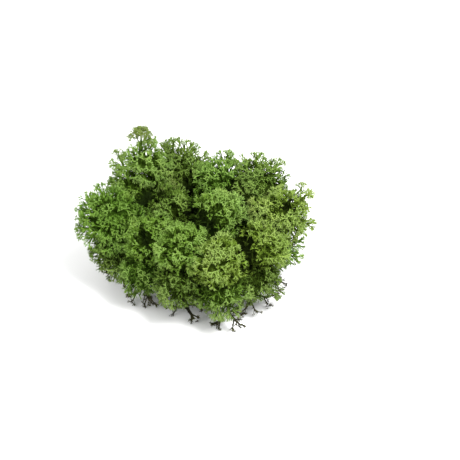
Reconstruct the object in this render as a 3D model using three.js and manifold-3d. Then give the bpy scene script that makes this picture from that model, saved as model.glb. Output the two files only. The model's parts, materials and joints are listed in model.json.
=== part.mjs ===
// A clump of reindeer moss (the cushion lichen Cladonia stellaris), as it lies when lifted out of its packing: some
// two dozen rounded tufts of forked stalks pressed together into one heap, with open sprays standing out of the top
// and bare, dark old stems underneath. Millimetres, +Z up, the front towards -Y, the origin under the middle of the
// heap's box on the surface that it lies on.
//
// Each tuft is one solid: a knobbly core with forked twigs standing out of it all round its free side. Neighbouring
// tufts are parted by a plane between them, as soft cushions flatten each other, with a small gap. No twig reaches
// over its tuft's planes, so no two tufts meet.

import * as THREE from "three";
import { mergeVertices } from "three/addons/utils/BufferGeometryUtils.js";
import Module from "manifold-3d";

const wasm = await Module();
wasm.setup();

// ---- Driving dimensions -------------------------------------------------------------------------------------------

const GAP = 0.3; // between pieces that press on each other
const SLIVER = 0.02; // edges shorter than this are taken out of a finished piece
const FLOOR = 0; // the surface that the heap lies on, in the heap's own frame
const TOP_HEART = [0, 2, 8]; // where the stalks of the heaped top run to, low in the middle
const RING_HEART = [0, 2, 34]; // where the stalks of the ring round the sides run to

const STALK_RADIUS = 1.1; // a twig's stalk, from its middle to a corner of its three-sided section
const STALK_SINK = 0.26; // where a twig is rooted, as a share of the way out to the tuft's reach
const TWIG_SPREAD = 0.85; // radians between a stalk and its prongs
const TWIG_BAND = 1.95; // radians from a tuft's crown that twigs grow down to
const TWIG_TURNS = 3; // how many ways round a twig is tried before a smaller one
const UNDER_SPACING = 1.5; // how much further apart the twigs are on the tuft underneath, which is pressed flat
const BARE_BELOW = 13; // the twigs of the ring keep higher than this, where the old stems show
// Twigs grow in two rounds, large ones and then small ones between them. spacing: from one twig to the next on the
// tuft's outside. sizes: what is tried in turn until one crosses nothing, with where the stalk forks and how long its
// prongs are, as shares of the tuft's reach, and how many times the prongs fork again.
const TWIG_ROUNDS = [
  {
    spacing: 21.4,
    sizes: [
      { forkAt: 0.54, prong: 0.3, forks: 1 },
      { forkAt: 0.54, prong: 0.24, forks: 1 },
      { forkAt: 0.64, prong: 0.34, forks: 0 },
    ],
  },
  {
    spacing: 18.3,
    sizes: [
      { forkAt: 0.64, prong: 0.36, forks: 0 },
      { forkAt: 0.66, prong: 0.28, forks: 0 },
      { forkAt: 0.68, prong: 0.2, forks: 0 },
    ],
  },
];

const SPRAY_RADIUS = 1.2; // a spray's stem at its foot

const OLD_STEM_RADIUS = 1.4; // a bare old stem where it forks first
const OLD_STEM_JOINT = 12; // the mean height of that fork
const OLD_STEM_REACH = 14; // the mean reach of its branches from there
const OLD_STEM_SPREAD = 0.75; // radians between a branch and its own branches
const OLD_STEM_SWAY = 2.5; // how far its trunk bends out of line
const CLEARANCE = 1.07; // how much a core is grown to cut the old stems clear of it

// Tufts. middle: the middle of the head; reach: how far its twig tips stand from there; heart: where its stalks come
// from, opposite its crown.
const TOP_TUFTS = [
  { name: "tuft_left", middle: [-59, 1, 57], reach: 25, colour: "deep" },
  { name: "tuft_left_front", middle: [-29, -21, 51], reach: 22, colour: "fresh" },
  { name: "tuft_front_left", middle: [-6, -38, 55], reach: 21, colour: "fresh" },
  { name: "tuft_front", middle: [18, -50, 52], reach: 21, colour: "bright" },
  { name: "tuft_right_front", middle: [45, -29, 51], reach: 21, colour: "bright" },
  { name: "tuft_right", middle: [60, 0, 59], reach: 22, colour: "bright" },
  { name: "tuft_middle", middle: [15, -11, 64], reach: 22, colour: "fresh" },
  { name: "tuft_mid_right", middle: [36, -3, 49], reach: 17, colour: "deep" },
  { name: "tuft_mid_left", middle: [-16, 4, 59], reach: 22, colour: "olive" },
  { name: "tuft_back_left", middle: [-42, 26, 64], reach: 22, colour: "fresh" },
  { name: "tuft_high", middle: [-36, 32, 79], reach: 17, colour: "fresh" },
  { name: "tuft_back_top", middle: [-14, 48, 64], reach: 23, colour: "olive" },
  { name: "tuft_back_middle", middle: [18, 27, 65], reach: 23, colour: "deep" },
  { name: "tuft_back_right", middle: [43, 24, 68], reach: 23, colour: "olive" },
  { name: "inner_left", middle: [-17, 26, 51], reach: 17, colour: "deep" },
  { name: "inner_right", middle: [4, 8, 53], reach: 17, colour: "deep" },
];
const RING_TUFTS = [
  { name: "side_left", middle: [-56, -4, 33], reach: 20, colour: "olive" },
  { name: "side_left_front", middle: [-35, -27, 32], reach: 20, colour: "deep" },
  { name: "side_front_left", middle: [-8, -43, 34], reach: 20, colour: "olive" },
  { name: "side_front", middle: [19, -52, 35], reach: 19, colour: "fresh" },
  { name: "side_right_front", middle: [43, -33, 33], reach: 20, colour: "olive" },
  { name: "side_right", middle: [55, -2, 35], reach: 20, colour: "deep" },
  { name: "side_back_right", middle: [42, 25, 34], reach: 21, colour: "olive" },
  { name: "side_back", middle: [12, 43, 34], reach: 22, colour: "fresh" },
  { name: "side_back_left", middle: [-21, 56, 35], reach: 21, colour: "olive" },
  { name: "side_left_back", middle: [-50, 28, 36], reach: 22, colour: "fresh" },
];
// The tuft that the heap sits on, upside down, with the heap's small flat spot.
const UNDER_TUFT = { name: "tuft_under", middle: [0, 2, 8], reach: 28, heart: [0, 2, 40], colour: "old" };

const TUFTS = [
  ...TOP_TUFTS.map((tuft) => ({ ...tuft, heart: TOP_HEART })),
  ...RING_TUFTS.map((tuft) => ({ ...tuft, heart: RING_HEART })),
  UNDER_TUFT,
];

// Open sprays, each fused to the tuft that it grows from: tip is where its highest crown stands.
const SPRAYS = [
  { tuft: "tuft_high", tip: [-38, 33, 110], bend: [-2, 0, 0], forks: 3 },
  { tuft: "tuft_back_left", tip: [-55, 24, 99], bend: [3, 0, 3], forks: 2 },
  { tuft: "tuft_back_left", tip: [-51, 16, 93], bend: [0, -3, 0], forks: 2 },
  { tuft: "tuft_high", tip: [-27, 36, 103], bend: [2, 1, 0], forks: 2 },
  { tuft: "tuft_back_top", tip: [-17, 45, 97], bend: [-2, 0, 0], forks: 2 },
  { tuft: "tuft_back_top", tip: [0, 45, 93], bend: [2, 0, 0], forks: 2 },
  { tuft: "tuft_back_middle", tip: [25, 41, 92], bend: [3, 0, 0], forks: 2 },
  { tuft: "tuft_right", tip: [83, 4, 83], bend: [2, 0, -3], forks: 2 },
  { tuft: "tuft_left", tip: [-67, 14, 82], bend: [0, 0, 2], forks: 1 },
];

// Bare old stems: each comes down out of a tuft of the ring, and forks at the place that at says.
const OLD_STEMS = [
  { name: "old_stems_front", tuft: "side_front", at: [23, -49] },
  { name: "old_stems_front_left", tuft: "side_front_left", at: [-6, -37] },
  { name: "old_stems_left_front", tuft: "side_left_front", at: [-34, -19] },
  { name: "old_stems_left", tuft: "side_left", at: [-53, 2] },
  { name: "old_stems_right_front", tuft: "side_right_front", at: [40, -27] },
  { name: "old_stems_right", tuft: "side_right", at: [53, -2] },
  { name: "old_stems_back_right", tuft: "side_back_right", at: [36, 25] },
  { name: "old_stems_back", tuft: "side_back_left", at: [-20, 50] },
];

const COLOURS = {
  fresh: { color: 0x6f9140, roughness: 0.85, metalness: 0 },
  bright: { color: 0x86a84a, roughness: 0.85, metalness: 0 },
  olive: { color: 0x68823c, roughness: 0.85, metalness: 0 },
  deep: { color: 0x557f3c, roughness: 0.85, metalness: 0 },
  old: { color: 0x4b4a30, roughness: 0.95, metalness: 0 },
};

// ---- Small helpers ------------------------------------------------------------------------------------------------

const TURN = 2 * Math.PI; // once round

const vec = ([x, y, z]) => new THREE.Vector3(x, y, z);

// A repeatable random number from 0 to 1: the next one of a stream that starts at seed.
function randomStream(seed) {
  let state = seed >>> 0;
  return () => {
    state = (state + 0x6d2b79f5) >>> 0;
    let t = state;
    t = Math.imul(t ^ (t >>> 15), t | 1);
    t ^= t + Math.imul(t ^ (t >>> 7), t | 61);
    return ((t ^ (t >>> 14)) >>> 0) / 4294967296;
  };
}

// Two unit vectors square to an axis and to each other.
function sideways(axis) {
  const helper = Math.abs(axis.z) < 0.9 ? new THREE.Vector3(0, 0, 1) : new THREE.Vector3(1, 0, 0);
  const across = new THREE.Vector3().crossVectors(helper, axis).normalize();
  return [across, new THREE.Vector3().crossVectors(axis, across)];
}

// The direction at an angle from an axis, turned round it.
function tilted(axis, angle, turn) {
  const [across, along] = sideways(axis);
  return axis
    .clone()
    .multiplyScalar(Math.cos(angle))
    .addScaledVector(across, Math.sin(angle) * Math.cos(turn))
    .addScaledVector(along, Math.sin(angle) * Math.sin(turn));
}

// A closed three.js geometry as a solid.
function solidOf(geometry) {
  geometry.deleteAttribute("normal");
  geometry.deleteAttribute("uv");
  const merged = mergeVertices(geometry, 1e-4);
  return new wasm.Manifold(
    new wasm.Mesh({
      numProp: 3,
      vertProperties: merged.attributes.position.array,
      triVerts: new Uint32Array(merged.index.array),
    }),
  );
}

// A solid as a three.js geometry, moved so that origin comes to 0, 0, 0.
function geometryOf(solid, origin) {
  const { numProp, numVert, vertProperties, triVerts } = solid.getMesh();
  const position = new Float32Array(numVert * 3);
  for (let i = 0; i < numVert; i++) {
    for (let k = 0; k < 3; k++) position[3 * i + k] = vertProperties[numProp * i + k] - origin[k];
  }
  return new THREE.BufferGeometry()
    .setAttribute("position", new THREE.BufferAttribute(position, 3))
    .setIndex(new THREE.BufferAttribute(triVerts, 1));
}

// ---- Forked stems -------------------------------------------------------------------------------------------------

// A forked stem as one closed skin of three-sided tubes. Where a stem forks, the three-cornered end splits round a
// new point in its middle into three, and a branch grows from each of them, so every fork is watertight.
class ForkedStem {
  constructor(foot, axis, radius, turn = 0) {
    this.points = [];
    this.faces = [];
    const ring = [0, 1, 2].map((k) => {
      const offset = tilted(axis, Math.PI / 2, turn + (TURN * k) / 3);
      return this.point(foot.clone().addScaledVector(offset, radius));
    });
    this.faces.push([ring[2], ring[1], ring[0]]);
    this.end = { ring, at: foot.clone() };
  }

  point(position) {
    return this.points.push(position) - 1;
  }

  // Carries an end on to a new place and returns the new end.
  tube(end, to, radius) {
    const axis = to.clone().sub(end.at).normalize();
    const ring = end.ring.map((index) => {
      const offset = this.points[index].clone().sub(end.at);
      offset.addScaledVector(axis, -offset.dot(axis)).setLength(radius);
      return this.point(to.clone().add(offset));
    });
    for (let k = 0; k < 3; k++) {
      const next = (k + 1) % 3;
      this.faces.push([end.ring[k], end.ring[next], ring[next]], [end.ring[k], ring[next], ring[k]]);
    }
    return { ring, at: to.clone() };
  }

  // Splits an end in three. Returns the three ends, with the direction in which each one faces outwards.
  fork(end, axis, bump) {
    const middle = this.point(end.at.clone().addScaledVector(axis, bump));
    return [0, 1, 2].map((k) => {
      const ring = [end.ring[k], end.ring[(k + 1) % 3], middle];
      const at = new THREE.Vector3();
      ring.forEach((index) => at.addScaledVector(this.points[index], 1 / 3));
      const outwards = this.points[ring[0]].clone().add(this.points[ring[1]]).multiplyScalar(0.5).sub(end.at);
      outwards.addScaledVector(axis, -outwards.dot(axis)).normalize();
      return { ring, at, outwards };
    });
  }

  // Draws an end out to a sharp tip.
  sharpen(end, to) {
    const tip = this.point(to.clone());
    for (let k = 0; k < 3; k++) this.faces.push([end.ring[k], end.ring[(k + 1) % 3], tip]);
  }

  solid() {
    const position = new Float32Array(this.points.flatMap((p) => [p.x, p.y, p.z]));
    const geometry = new THREE.BufferGeometry().setAttribute("position", new THREE.BufferAttribute(position, 3));
    return solidOf(geometry.setIndex(this.faces.flat()));
  }
}

// Forks an end again and again: levels says how many more times, and each prong ends in a sharp tip.
function branchOut(stem, end, axis, length, radius, levels, spread, random) {
  const bump = radius * 0.6;
  for (const branch of stem.fork(end, axis, bump)) {
    const angle = spread * (0.75 + 0.5 * random());
    const reach = length * (0.75 + 0.45 * random());
    const way = axis
      .clone()
      .multiplyScalar(Math.cos(angle))
      .addScaledVector(branch.outwards, Math.sin(angle));
    const to = end.at.clone().addScaledVector(axis, bump).addScaledVector(way, reach);
    if (levels === 0) {
      stem.sharpen(branch, to);
      continue;
    }
    const narrower = radius * 0.72;
    branchOut(stem, stem.tube(branch, to, narrower), way, length * 0.7, narrower, levels - 1, spread, random);
  }
}

// ---- Tufts --------------------------------------------------------------------------------------------------------

// The planes that part a tuft from the others: normal points away from the tuft, and offset is where the plane
// stands.
function partingPlanes(tuft) {
  const here = vec(tuft.middle);
  return TUFTS.filter((other) => other !== tuft).map((other) => {
    const there = vec(other.middle);
    const normal = there.clone().sub(here);
    const distance = normal.length();
    normal.divideScalar(distance);
    const share = (there.lengthSq() - here.lengthSq() + tuft.reach ** 2 - other.reach ** 2) / (2 * distance);
    return { normal, offset: share - GAP / 2 };
  });
}

const within = (planes, point, margin) =>
  point.z > FLOOR + margin && planes.every(({ normal, offset }) => normal.dot(point) < offset - margin);

// The way a tuft's crown faces.
const crownAxis = (tuft) => vec(tuft.middle).sub(vec(tuft.heart)).normalize();

// How lumpy a surface is at a point, about 1: crossing waves, the same wherever the point is worked out.
function lumpiness(p) {
  const slow =
    Math.sin(p.x * 0.31 + p.y * 0.17) + Math.sin(p.y * 0.29 - p.z * 0.23) + Math.sin(p.z * 0.33 + p.x * 0.13);
  const quick = Math.sin(p.x * 1.9 + p.z * 0.7) + Math.sin(p.y * 1.7 - p.x * 0.5);
  return 1 + 0.04 * slow + 0.05 * quick;
}

// A tuft's firm core, in rows of corners from the stalks' foot to the crown: how far out and how far up each row is,
// as shares of the tuft's reach. It is widest low down, where the tufts press on each other, and small under the
// twigs.
const CORE_PROFILE = [
  [0, -1.4],
  [0.42, -1.24],
  [0.68, -0.78],
  [0.6, -0.34],
  [0.48, 0.02],
  [0.3, 0.28],
  [0, 0.38],
];
const CORE_SIDES = 7;
const KNOBS_FROM = 2; // the row that the knobs start at
const KNOB = 0.16; // how far a knob stands out of the core, as a share of the tuft's reach
const KNOB_HEART = -0.3; // what the knobs point away from: how far up the tuft's axis, as such a share

// The core's skin: corners row by row, each row turned half a side from the last. Each facet from the row KNOBS_FROM
// up is raised in its middle to a knob, as the growth's small heads are, larger than life.
function coreSkin(tuft) {
  const up = crownAxis(tuft);
  const middle = vec(tuft.middle);
  const points = [];
  const faces = [];
  const add = (point) => points.push(point.multiplyScalar(lumpiness(point.clone().add(middle).round()))) - 1;
  const rows = CORE_PROFILE.map(([out, height], row) => {
    const corners = out === 0 ? 1 : CORE_SIDES;
    return Array.from({ length: corners }, (_, k) => {
      const way = tilted(up, Math.PI / 2, (TURN * (k + row / 2)) / CORE_SIDES);
      return add(way.multiplyScalar(out * tuft.reach).addScaledVector(up, height * tuft.reach));
    });
  });
  for (let row = 0; row + 1 < rows.length; row++) {
    const at = (ring, k) => ring[k % ring.length];
    for (let k = 0; k < CORE_SIDES; k++) {
      const around = [at(rows[row], k), at(rows[row], k + 1), at(rows[row + 1], k + 1), at(rows[row + 1], k)];
      const facet = around.filter((corner, j) => corner !== around[(j + 1) % around.length]);
      const centre = new THREE.Vector3();
      facet.forEach((corner) => centre.addScaledVector(points[corner], 1 / facet.length));
      if (row < KNOBS_FROM) {
        for (let j = 2; j < facet.length; j++) faces.push([facet[0], facet[j - 1], facet[j]]);
        continue;
      }
      const outwards = centre.clone().addScaledVector(up, -KNOB_HEART * tuft.reach).normalize();
      const knob = add(centre.addScaledVector(outwards, KNOB * tuft.reach));
      facet.forEach((corner, j) => faces.push([corner, facet[(j + 1) % facet.length], knob]));
    }
  }
  return { points, faces };
}

function tuftCore(tuft, planes) {
  const { points, faces } = coreSkin(tuft);
  const position = new Float32Array(points.flatMap((p) => [p.x, p.y, p.z]));
  const geometry = new THREE.BufferGeometry().setAttribute("position", new THREE.BufferAttribute(position, 3));
  let core = solidOf(geometry.setIndex(faces.flat()).translate(...tuft.middle));
  core = core.trimByPlane([0, 0, 1], FLOOR);
  for (const { normal, offset } of planes) core = core.trimByPlane(normal.clone().negate().toArray(), -offset);
  return core;
}

// One forked twig from inside the core, out along a direction.
function twig(tuft, direction, { forkAt, prong, forks }, random) {
  const middle = vec(tuft.middle);
  const foot = middle.clone().addScaledVector(direction, tuft.reach * STALK_SINK);
  const top = middle.clone().addScaledVector(direction, tuft.reach * forkAt * (0.88 + 0.2 * random()));
  top.addScaledVector(tilted(direction, Math.PI / 2, TURN * random()), 1.2);
  const axis = top.clone().sub(foot).normalize();
  const stem = new ForkedStem(foot, axis, STALK_RADIUS, TURN * random());
  const end = stem.tube(stem.end, top, STALK_RADIUS * 0.9);
  branchOut(stem, end, axis, tuft.reach * prong, STALK_RADIUS * 0.9, forks, TWIG_SPREAD, random);
  return stem;
}

// The first of some sizes of twig that keeps off the parting planes, the bare zone and the stems already there, or
// nothing.
function clearTwig(tuft, planes, direction, sizes, stems, random) {
  const lowest = tuft === UNDER_TUFT ? FLOOR : BARE_BELOW;
  for (const size of sizes.flatMap((one) => Array(TWIG_TURNS).fill(one))) {
    const grown = twig(tuft, direction, size, random);
    if (!grown.points.every((point) => within(planes, point, 0.05) && point.z > lowest)) continue;
    const solid = grown.solid();
    if (stems.every((stem) => solid.minGap(stem, 2 * GAP) > GAP)) return solid;
  }
  return null;
}

// Directions spread evenly over a tuft's free side, by the golden angle, from the crown down to TWIG_BAND.
function twigDirections(tuft, spacing) {
  const axis = crownAxis(tuft);
  const bandArea = TURN * tuft.reach ** 2 * (1 - Math.cos(TWIG_BAND));
  const count = Math.round(bandArea / spacing ** 2);
  const golden = Math.PI * (3 - Math.sqrt(5));
  return Array.from({ length: count }, (_, k) => {
    const angle = Math.acos(1 - ((k + 0.5) / count) * (1 - Math.cos(TWIG_BAND)));
    return tilted(axis, angle, golden * k + tuft.middle[0]);
  });
}

// A long open spray, from inside its tuft's core to its tip, forked two or three times over.
function spray({ tip, bend, forks }, tuft, random) {
  const foot = vec(tuft.middle);
  const to = vec(tip);
  const length = to.distanceTo(foot);
  const stemTop = foot.clone().lerp(to, forks > 1 ? 0.58 : 0.74);
  const half = foot.clone().lerp(stemTop, 0.55).add(vec(bend));
  const stem = new ForkedStem(foot, half.clone().sub(foot).normalize(), SPRAY_RADIUS);
  const bent = stem.tube(stem.end, half, SPRAY_RADIUS);
  const top = stem.tube(bent, stemTop, SPRAY_RADIUS * 0.9);
  const axis = to.clone().sub(half).normalize();
  const rest = forks > 1 ? length * 0.19 : length * 0.16;
  branchOut(stem, top, axis, rest, SPRAY_RADIUS * 0.85, forks - 1, 0.62, random);
  return stem;
}

function tuftSolid(tuft, index, oldStems) {
  const random = randomStream(211 + 17 * index);
  const planes = partingPlanes(tuft);
  const own = SPRAYS.filter((shape) => shape.tuft === tuft.name).map((shape) => spray(shape, tuft, random).solid());
  const apart = tuft === UNDER_TUFT ? UNDER_SPACING : 1;
  for (const { spacing, sizes } of TWIG_ROUNDS) {
    for (const direction of twigDirections(tuft, spacing * apart)) {
      const grown = clearTwig(tuft, planes, direction, sizes, [...oldStems, ...own], random);
      if (grown) own.push(grown);
    }
  }
  return wasm.Manifold.union([tuftCore(tuft, planes), ...own]).simplify(SLIVER);
}

// ---- Old stems ----------------------------------------------------------------------------------------------------

// A piece grown a little about a tuft's middle, to cut the gap round it.
function withGap(solid, [x, y, z]) {
  return solid.translate([-x, -y, -z]).scale(CLEARANCE).translate([x, y, z]);
}

// Bare stems that come down out of a tuft, fork low over the surface and spread down to it, cut flat where they
// stand. What would reach into a tuft's core is cut away, with the gap round it.
function oldStem({ tuft: name, at: [x, y] }, index, cores) {
  const random = randomStream(900 + index);
  const about = (mean, share) => mean * (1 - share + 2 * share * random());
  const joint = new THREE.Vector3(x, y, about(OLD_STEM_JOINT, 0.15));
  const foot = vec(TUFTS.find((tuft) => tuft.name === name).middle);
  const line = joint.clone().sub(foot).normalize();
  const bend = foot.clone().lerp(joint, 0.6).addScaledVector(tilted(line, Math.PI / 2, TURN * random()), OLD_STEM_SWAY);
  const stem = new ForkedStem(foot, bend.clone().sub(foot).normalize(), OLD_STEM_RADIUS * 0.9, TURN * random());
  const trunk = stem.tube(stem.end, bend, OLD_STEM_RADIUS * 0.95);
  const low = stem.tube(trunk, joint, OLD_STEM_RADIUS);
  const down = joint.clone().sub(bend).normalize();
  for (const branch of stem.fork(low, down, OLD_STEM_RADIUS * 0.5)) {
    const outwards = branch.outwards.clone().applyAxisAngle(down, about(0.5, 1) - 0.5);
    const elbowAt = joint.clone().addScaledVector(outwards, about(OLD_STEM_REACH * 0.45, 0.35));
    elbowAt.z = joint.z * about(0.62, 0.4);
    const elbow = stem.tube(branch, elbowAt, OLD_STEM_RADIUS * 0.7);
    const way = elbowAt.clone().sub(joint).normalize();
    way.z = Math.max(way.z, -0.6);
    const rest = about(OLD_STEM_REACH * 0.35, 0.3);
    branchOut(stem, elbow, way.normalize(), rest, OLD_STEM_RADIUS * 0.6, 1, OLD_STEM_SPREAD, random);
  }
  let solid = stem.solid().trimByPlane([0, 0, 1], FLOOR);
  for (const core of cores) solid = solid.subtract(core);
  const [largest] = solid.decompose().sort((a, b) => b.volume() - a.volume());
  return largest.simplify(SLIVER);
}

// ---- The clump ----------------------------------------------------------------------------------------------------

const cores = TUFTS.map((tuft) => withGap(tuftCore(tuft, partingPlanes(tuft)), tuft.middle));
const stems = OLD_STEMS.map((shape, index) => oldStem(shape, index, cores));
const pieces = [
  ...TUFTS.map((tuft, index) => ({ ...tuft, at: tuft.middle, solid: tuftSolid(tuft, index, stems) })),
  ...OLD_STEMS.map(({ name, at }, index) => ({ name, at: [...at, FLOOR], colour: "old", solid: stems[index] })),
];

// The middle of the whole heap's box, on the surface.
function underMiddle(solids) {
  const boxes = solids.map((solid) => solid.boundingBox());
  const low = (k) => Math.min(...boxes.map(({ min }) => min[k]));
  const high = (k) => Math.max(...boxes.map(({ max }) => max[k]));
  return [(low(0) + high(0)) / 2, (low(1) + high(1)) / 2, low(2)];
}

const origin = underMiddle(pieces.map(({ solid }) => solid));
const clump = new THREE.Group();
for (const { name, colour, at, solid } of pieces) {
  const mesh = new THREE.Mesh(geometryOf(solid, at), new THREE.MeshStandardMaterial(COLOURS[colour]));
  mesh.name = name;
  mesh.position.set(at[0] - origin[0], at[1] - origin[1], at[2] - origin[2]);
  clump.add(mesh);
}

export default clump;
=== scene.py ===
"""A clump of reindeer moss: fine forked growth over each packed tuft, dark bare old stems, and a plain studio stage."""

import collections
import functools
import json
import math
import random

import bpy
import numpy as np
from bpy.props import FloatProperty, FloatVectorProperty, IntProperty, PointerProperty
from bpy.types import Operator, Panel, PropertyGroup
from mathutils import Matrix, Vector
from mathutils.bvhtree import BVHTree

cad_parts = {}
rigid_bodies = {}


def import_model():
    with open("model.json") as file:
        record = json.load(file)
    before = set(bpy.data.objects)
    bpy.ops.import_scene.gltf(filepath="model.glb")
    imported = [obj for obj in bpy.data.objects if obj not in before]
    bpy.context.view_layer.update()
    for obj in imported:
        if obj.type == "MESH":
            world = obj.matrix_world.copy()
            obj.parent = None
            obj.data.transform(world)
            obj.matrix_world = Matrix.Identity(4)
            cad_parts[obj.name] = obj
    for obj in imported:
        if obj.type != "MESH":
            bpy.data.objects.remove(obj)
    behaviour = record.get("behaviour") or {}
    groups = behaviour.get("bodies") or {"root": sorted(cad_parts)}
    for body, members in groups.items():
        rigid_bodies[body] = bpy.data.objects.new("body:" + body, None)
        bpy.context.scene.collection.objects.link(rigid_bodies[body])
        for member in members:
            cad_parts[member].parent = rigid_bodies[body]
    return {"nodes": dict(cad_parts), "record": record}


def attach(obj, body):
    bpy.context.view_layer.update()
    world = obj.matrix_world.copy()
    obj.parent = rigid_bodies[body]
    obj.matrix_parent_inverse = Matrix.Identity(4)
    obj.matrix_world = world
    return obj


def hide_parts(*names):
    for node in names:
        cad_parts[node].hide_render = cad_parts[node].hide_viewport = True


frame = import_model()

bl_info = {
    "name": "Reindeer Moss Clump",
    "version": (1, 0, 0),
    "blender": (4, 5, 0),
    "location": "View3D > Sidebar > Moss",
    "description": "Grows fine forked lichen over the tufts of a packed clump and sets a studio stage",
    "category": "Object",
}

MM = 0.001
BODY = "root"
SLOTS = {part["node"]: part["material_slot"] for part in frame["record"]["subparts"]}
UNDER_TUFT = "tuft_under"
OLD_STEMS = sorted(node for node in frame["nodes"] if node.startswith("old_stems"))
SIDE_TUFTS = sorted(node for node in frame["nodes"] if node.startswith("side_"))
TOP_TUFTS = sorted(set(frame["nodes"]) - set(OLD_STEMS) - set(SIDE_TUFTS) - {UNDER_TUFT})

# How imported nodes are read.
MERGE_DISTANCE = 1e-6  # nearer corners are one
CORE_THICKNESS = 3.6 * MM  # a face with more solid behind it belongs to a tuft's core,
TWIG_BREADTH = 2.3 * MM  # and so does a broader one
TIP_ANGLES = math.radians(100)  # the three faces at a twig's sharp tip take up less together
RAY_START = 0.02 * MM  # thickness is measured from this far under the skin
NO_LENGTH, NO_AREA = 1e-12, 1e-15  # stand for zero in divisions

# How a packed tuft is changed before it is grown on.
TWIG_SLIMMING = 0.2  # a twig's skin is drawn in by this share of its thickness,
TWIG_SHORTENING = 0.3  # and the twig by this share of its height over the core, a spray as far as a long twig
TUFT_REACH = 1.8  # how far a tuft reaches, beside its core
SPRAY_REACH = 1.2  # twigs that end further out than this many reaches are loose sprays

# A corner's level runs from 0 in a tuft's depths to 1 at its tips, and rises along a sprig.
TWIG_THICKNESSES = (0.7 * MM, 2.0 * MM)
TWIG_LEVELS = (0.5, 0.16)  # at each of those thicknesses
TIP_LEVEL = 0.6  # at a twig's sharp tip
SPRAY_DIMMING = 0.7  # of a loose spray's levels
# The material paints shade deep in a tuft, where standing is low, and wears loose sprays, where it is high.
DEEP_SHARE, OUTER_SHARE = 0.6, 0.38  # standing is 0 within the first share of the reach, and 1 after the next
MOST_STANDING = 3  # far out on a loose spray

# Dark hollows in the heap's top, where growth is short and painted shade darkens its colour: rows of points, each with
# its width, in mm.
HOLLOWS = [
    (-31.0, 7.0, 66.0, 8.5), (-27.0, 5.5, 68.0, 9.6), (-22.5, 3.0, 69.5, 9.0),
    (-33.0, -26.0, 58.0, 5.5), (-32.0, -34.0, 57.0, 5.5),
    (-1.7, 0.0, 60.0, 12.0), (2.9, -17.5, 67.0, 9.5), (7.6, -25.0, 65.0, 9.5), (12.3, -30.0, 61.0, 7.0),
    (31.1, -15.4, 56.3, 7.0), (33.0, -33.3, 58.4, 9.0), (33.0, -42.2, 56.3, 9.5), (33.0, -46.0, 51.5, 9.5),
    (-4.8, 22.9, 66.8, 8.0), (26.4, 14.1, 69.9, 6.0), (37.3, -2.3, 64.0, 6.0), (62.8, -9.0, 72.3, 6.0),
]


# ---- Settings ----


def setting(maker=FloatProperty, **options):
    """Makes settings of one sort, each from its description, its default and later its name."""
    return lambda description, default: functools.partial(maker, description=description, default=default, **options)


def named(group):
    """The group, with each of its settings named as it is called."""
    for name, make in group.__annotations__.items():
        group.__annotations__[name] = make(name=name.replace("_", " ").capitalize())
    return group


length = setting(unit="LENGTH", precision=5)
share = setting(subtype="FACTOR", min=0, max=1)
factor = setting(min=0)
angle = setting(subtype="ANGLE")
power = setting(unit="POWER")
focus = setting(subtype="DISTANCE_CAMERA")
colour = setting(FloatVectorProperty, subtype="COLOR", min=0, max=1)
spot = setting(FloatVectorProperty, subtype="TRANSLATION", unit="LENGTH")
number = setting(IntProperty, min=1)


@named
class SprigSettings(PropertyGroup):
    """The much-forked sprigs that cover a tuft."""

    height: length("How far a sprig stands out", 9.5 * MM)
    stalk_radius: length("Half the thickness of a stalk", 0.44 * MM)
    spread: angle("Angle between a branch and the next ones", math.radians(40))
    roundness: share("How far branches turn away from their head's middle", 0.5)
    star_spread: angle("Angle between a last branch and its points", math.radians(58))
    star_reach: length("Length of a star's points", 1.15 * MM)
    variants: number("How many sprigs of each kind are grown", 10)
    seed: number("Start of the sprigs' random shapes", 5)


@named
class CoverSettings(PropertyGroup):
    """How sprigs are set over a tuft."""

    spacing: length("Least distance between two sprigs", 3.9 * MM)
    side_spacing: length("Least distance on side tufts", 4.3 * MM)
    back_spacing: length("Least distance on side tufts at the back", 4.8 * MM)
    under_spacing: length("Least distance on the tuft underneath", 5.2 * MM)
    stub_spacing: length("Least distance between stubs on old stems", 2.8 * MM)
    outlook: length("Sprigs with another tuft nearer in front of them are smaller", 14.0 * MM)
    hidden: share("Share of the outlook within which sprigs are left out", 0.38)
    upright: share("How far sprigs follow the skin under them", 0.2)
    tilt: share("How far sprigs lean at random", 0.22)
    shyness: share("How far sprigs lean away from other tufts", 0.5)
    smallest: share("Size of the smallest sprigs", 0.85)
    largest: factor("Size of the largest sprigs", 1.1)
    detail: share("Sprigs with less free room fork once less", 0.55)
    # The darker colour near another tuft is painted shade.
    valley: length("Sprigs with another tuft nearer are lower and darker", 9.0 * MM)
    hollow: factor("Width of the hollows, beside their own", 1.0)
    lump_size: length("Width of places where sprigs stand higher or lower", 11.0 * MM)
    crown_size: share("Size of the crowns on twigs' tips, beside sprigs", 0.8)
    crown_sink: share("How far crowns are sunk, beside their height", 0.5)
    floret_size: share("Size of the round heads on loose sprays, beside sprigs", 0.65)
    floret_sink: share("How far round heads are sunk, beside their height", 1.0)
    shoot_height: length("How far the short shoots between sprigs stand out", 4.6 * MM)
    shoot_radius: length("Half the thickness of a short shoot", 0.4 * MM)
    shoot_star: length("Length of a short shoot's points", 1.8 * MM)
    shoot_spacing: length("Least distance between two short shoots", 2.0 * MM)
    seed: number("Start of the sprigs' random places", 11)


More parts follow.
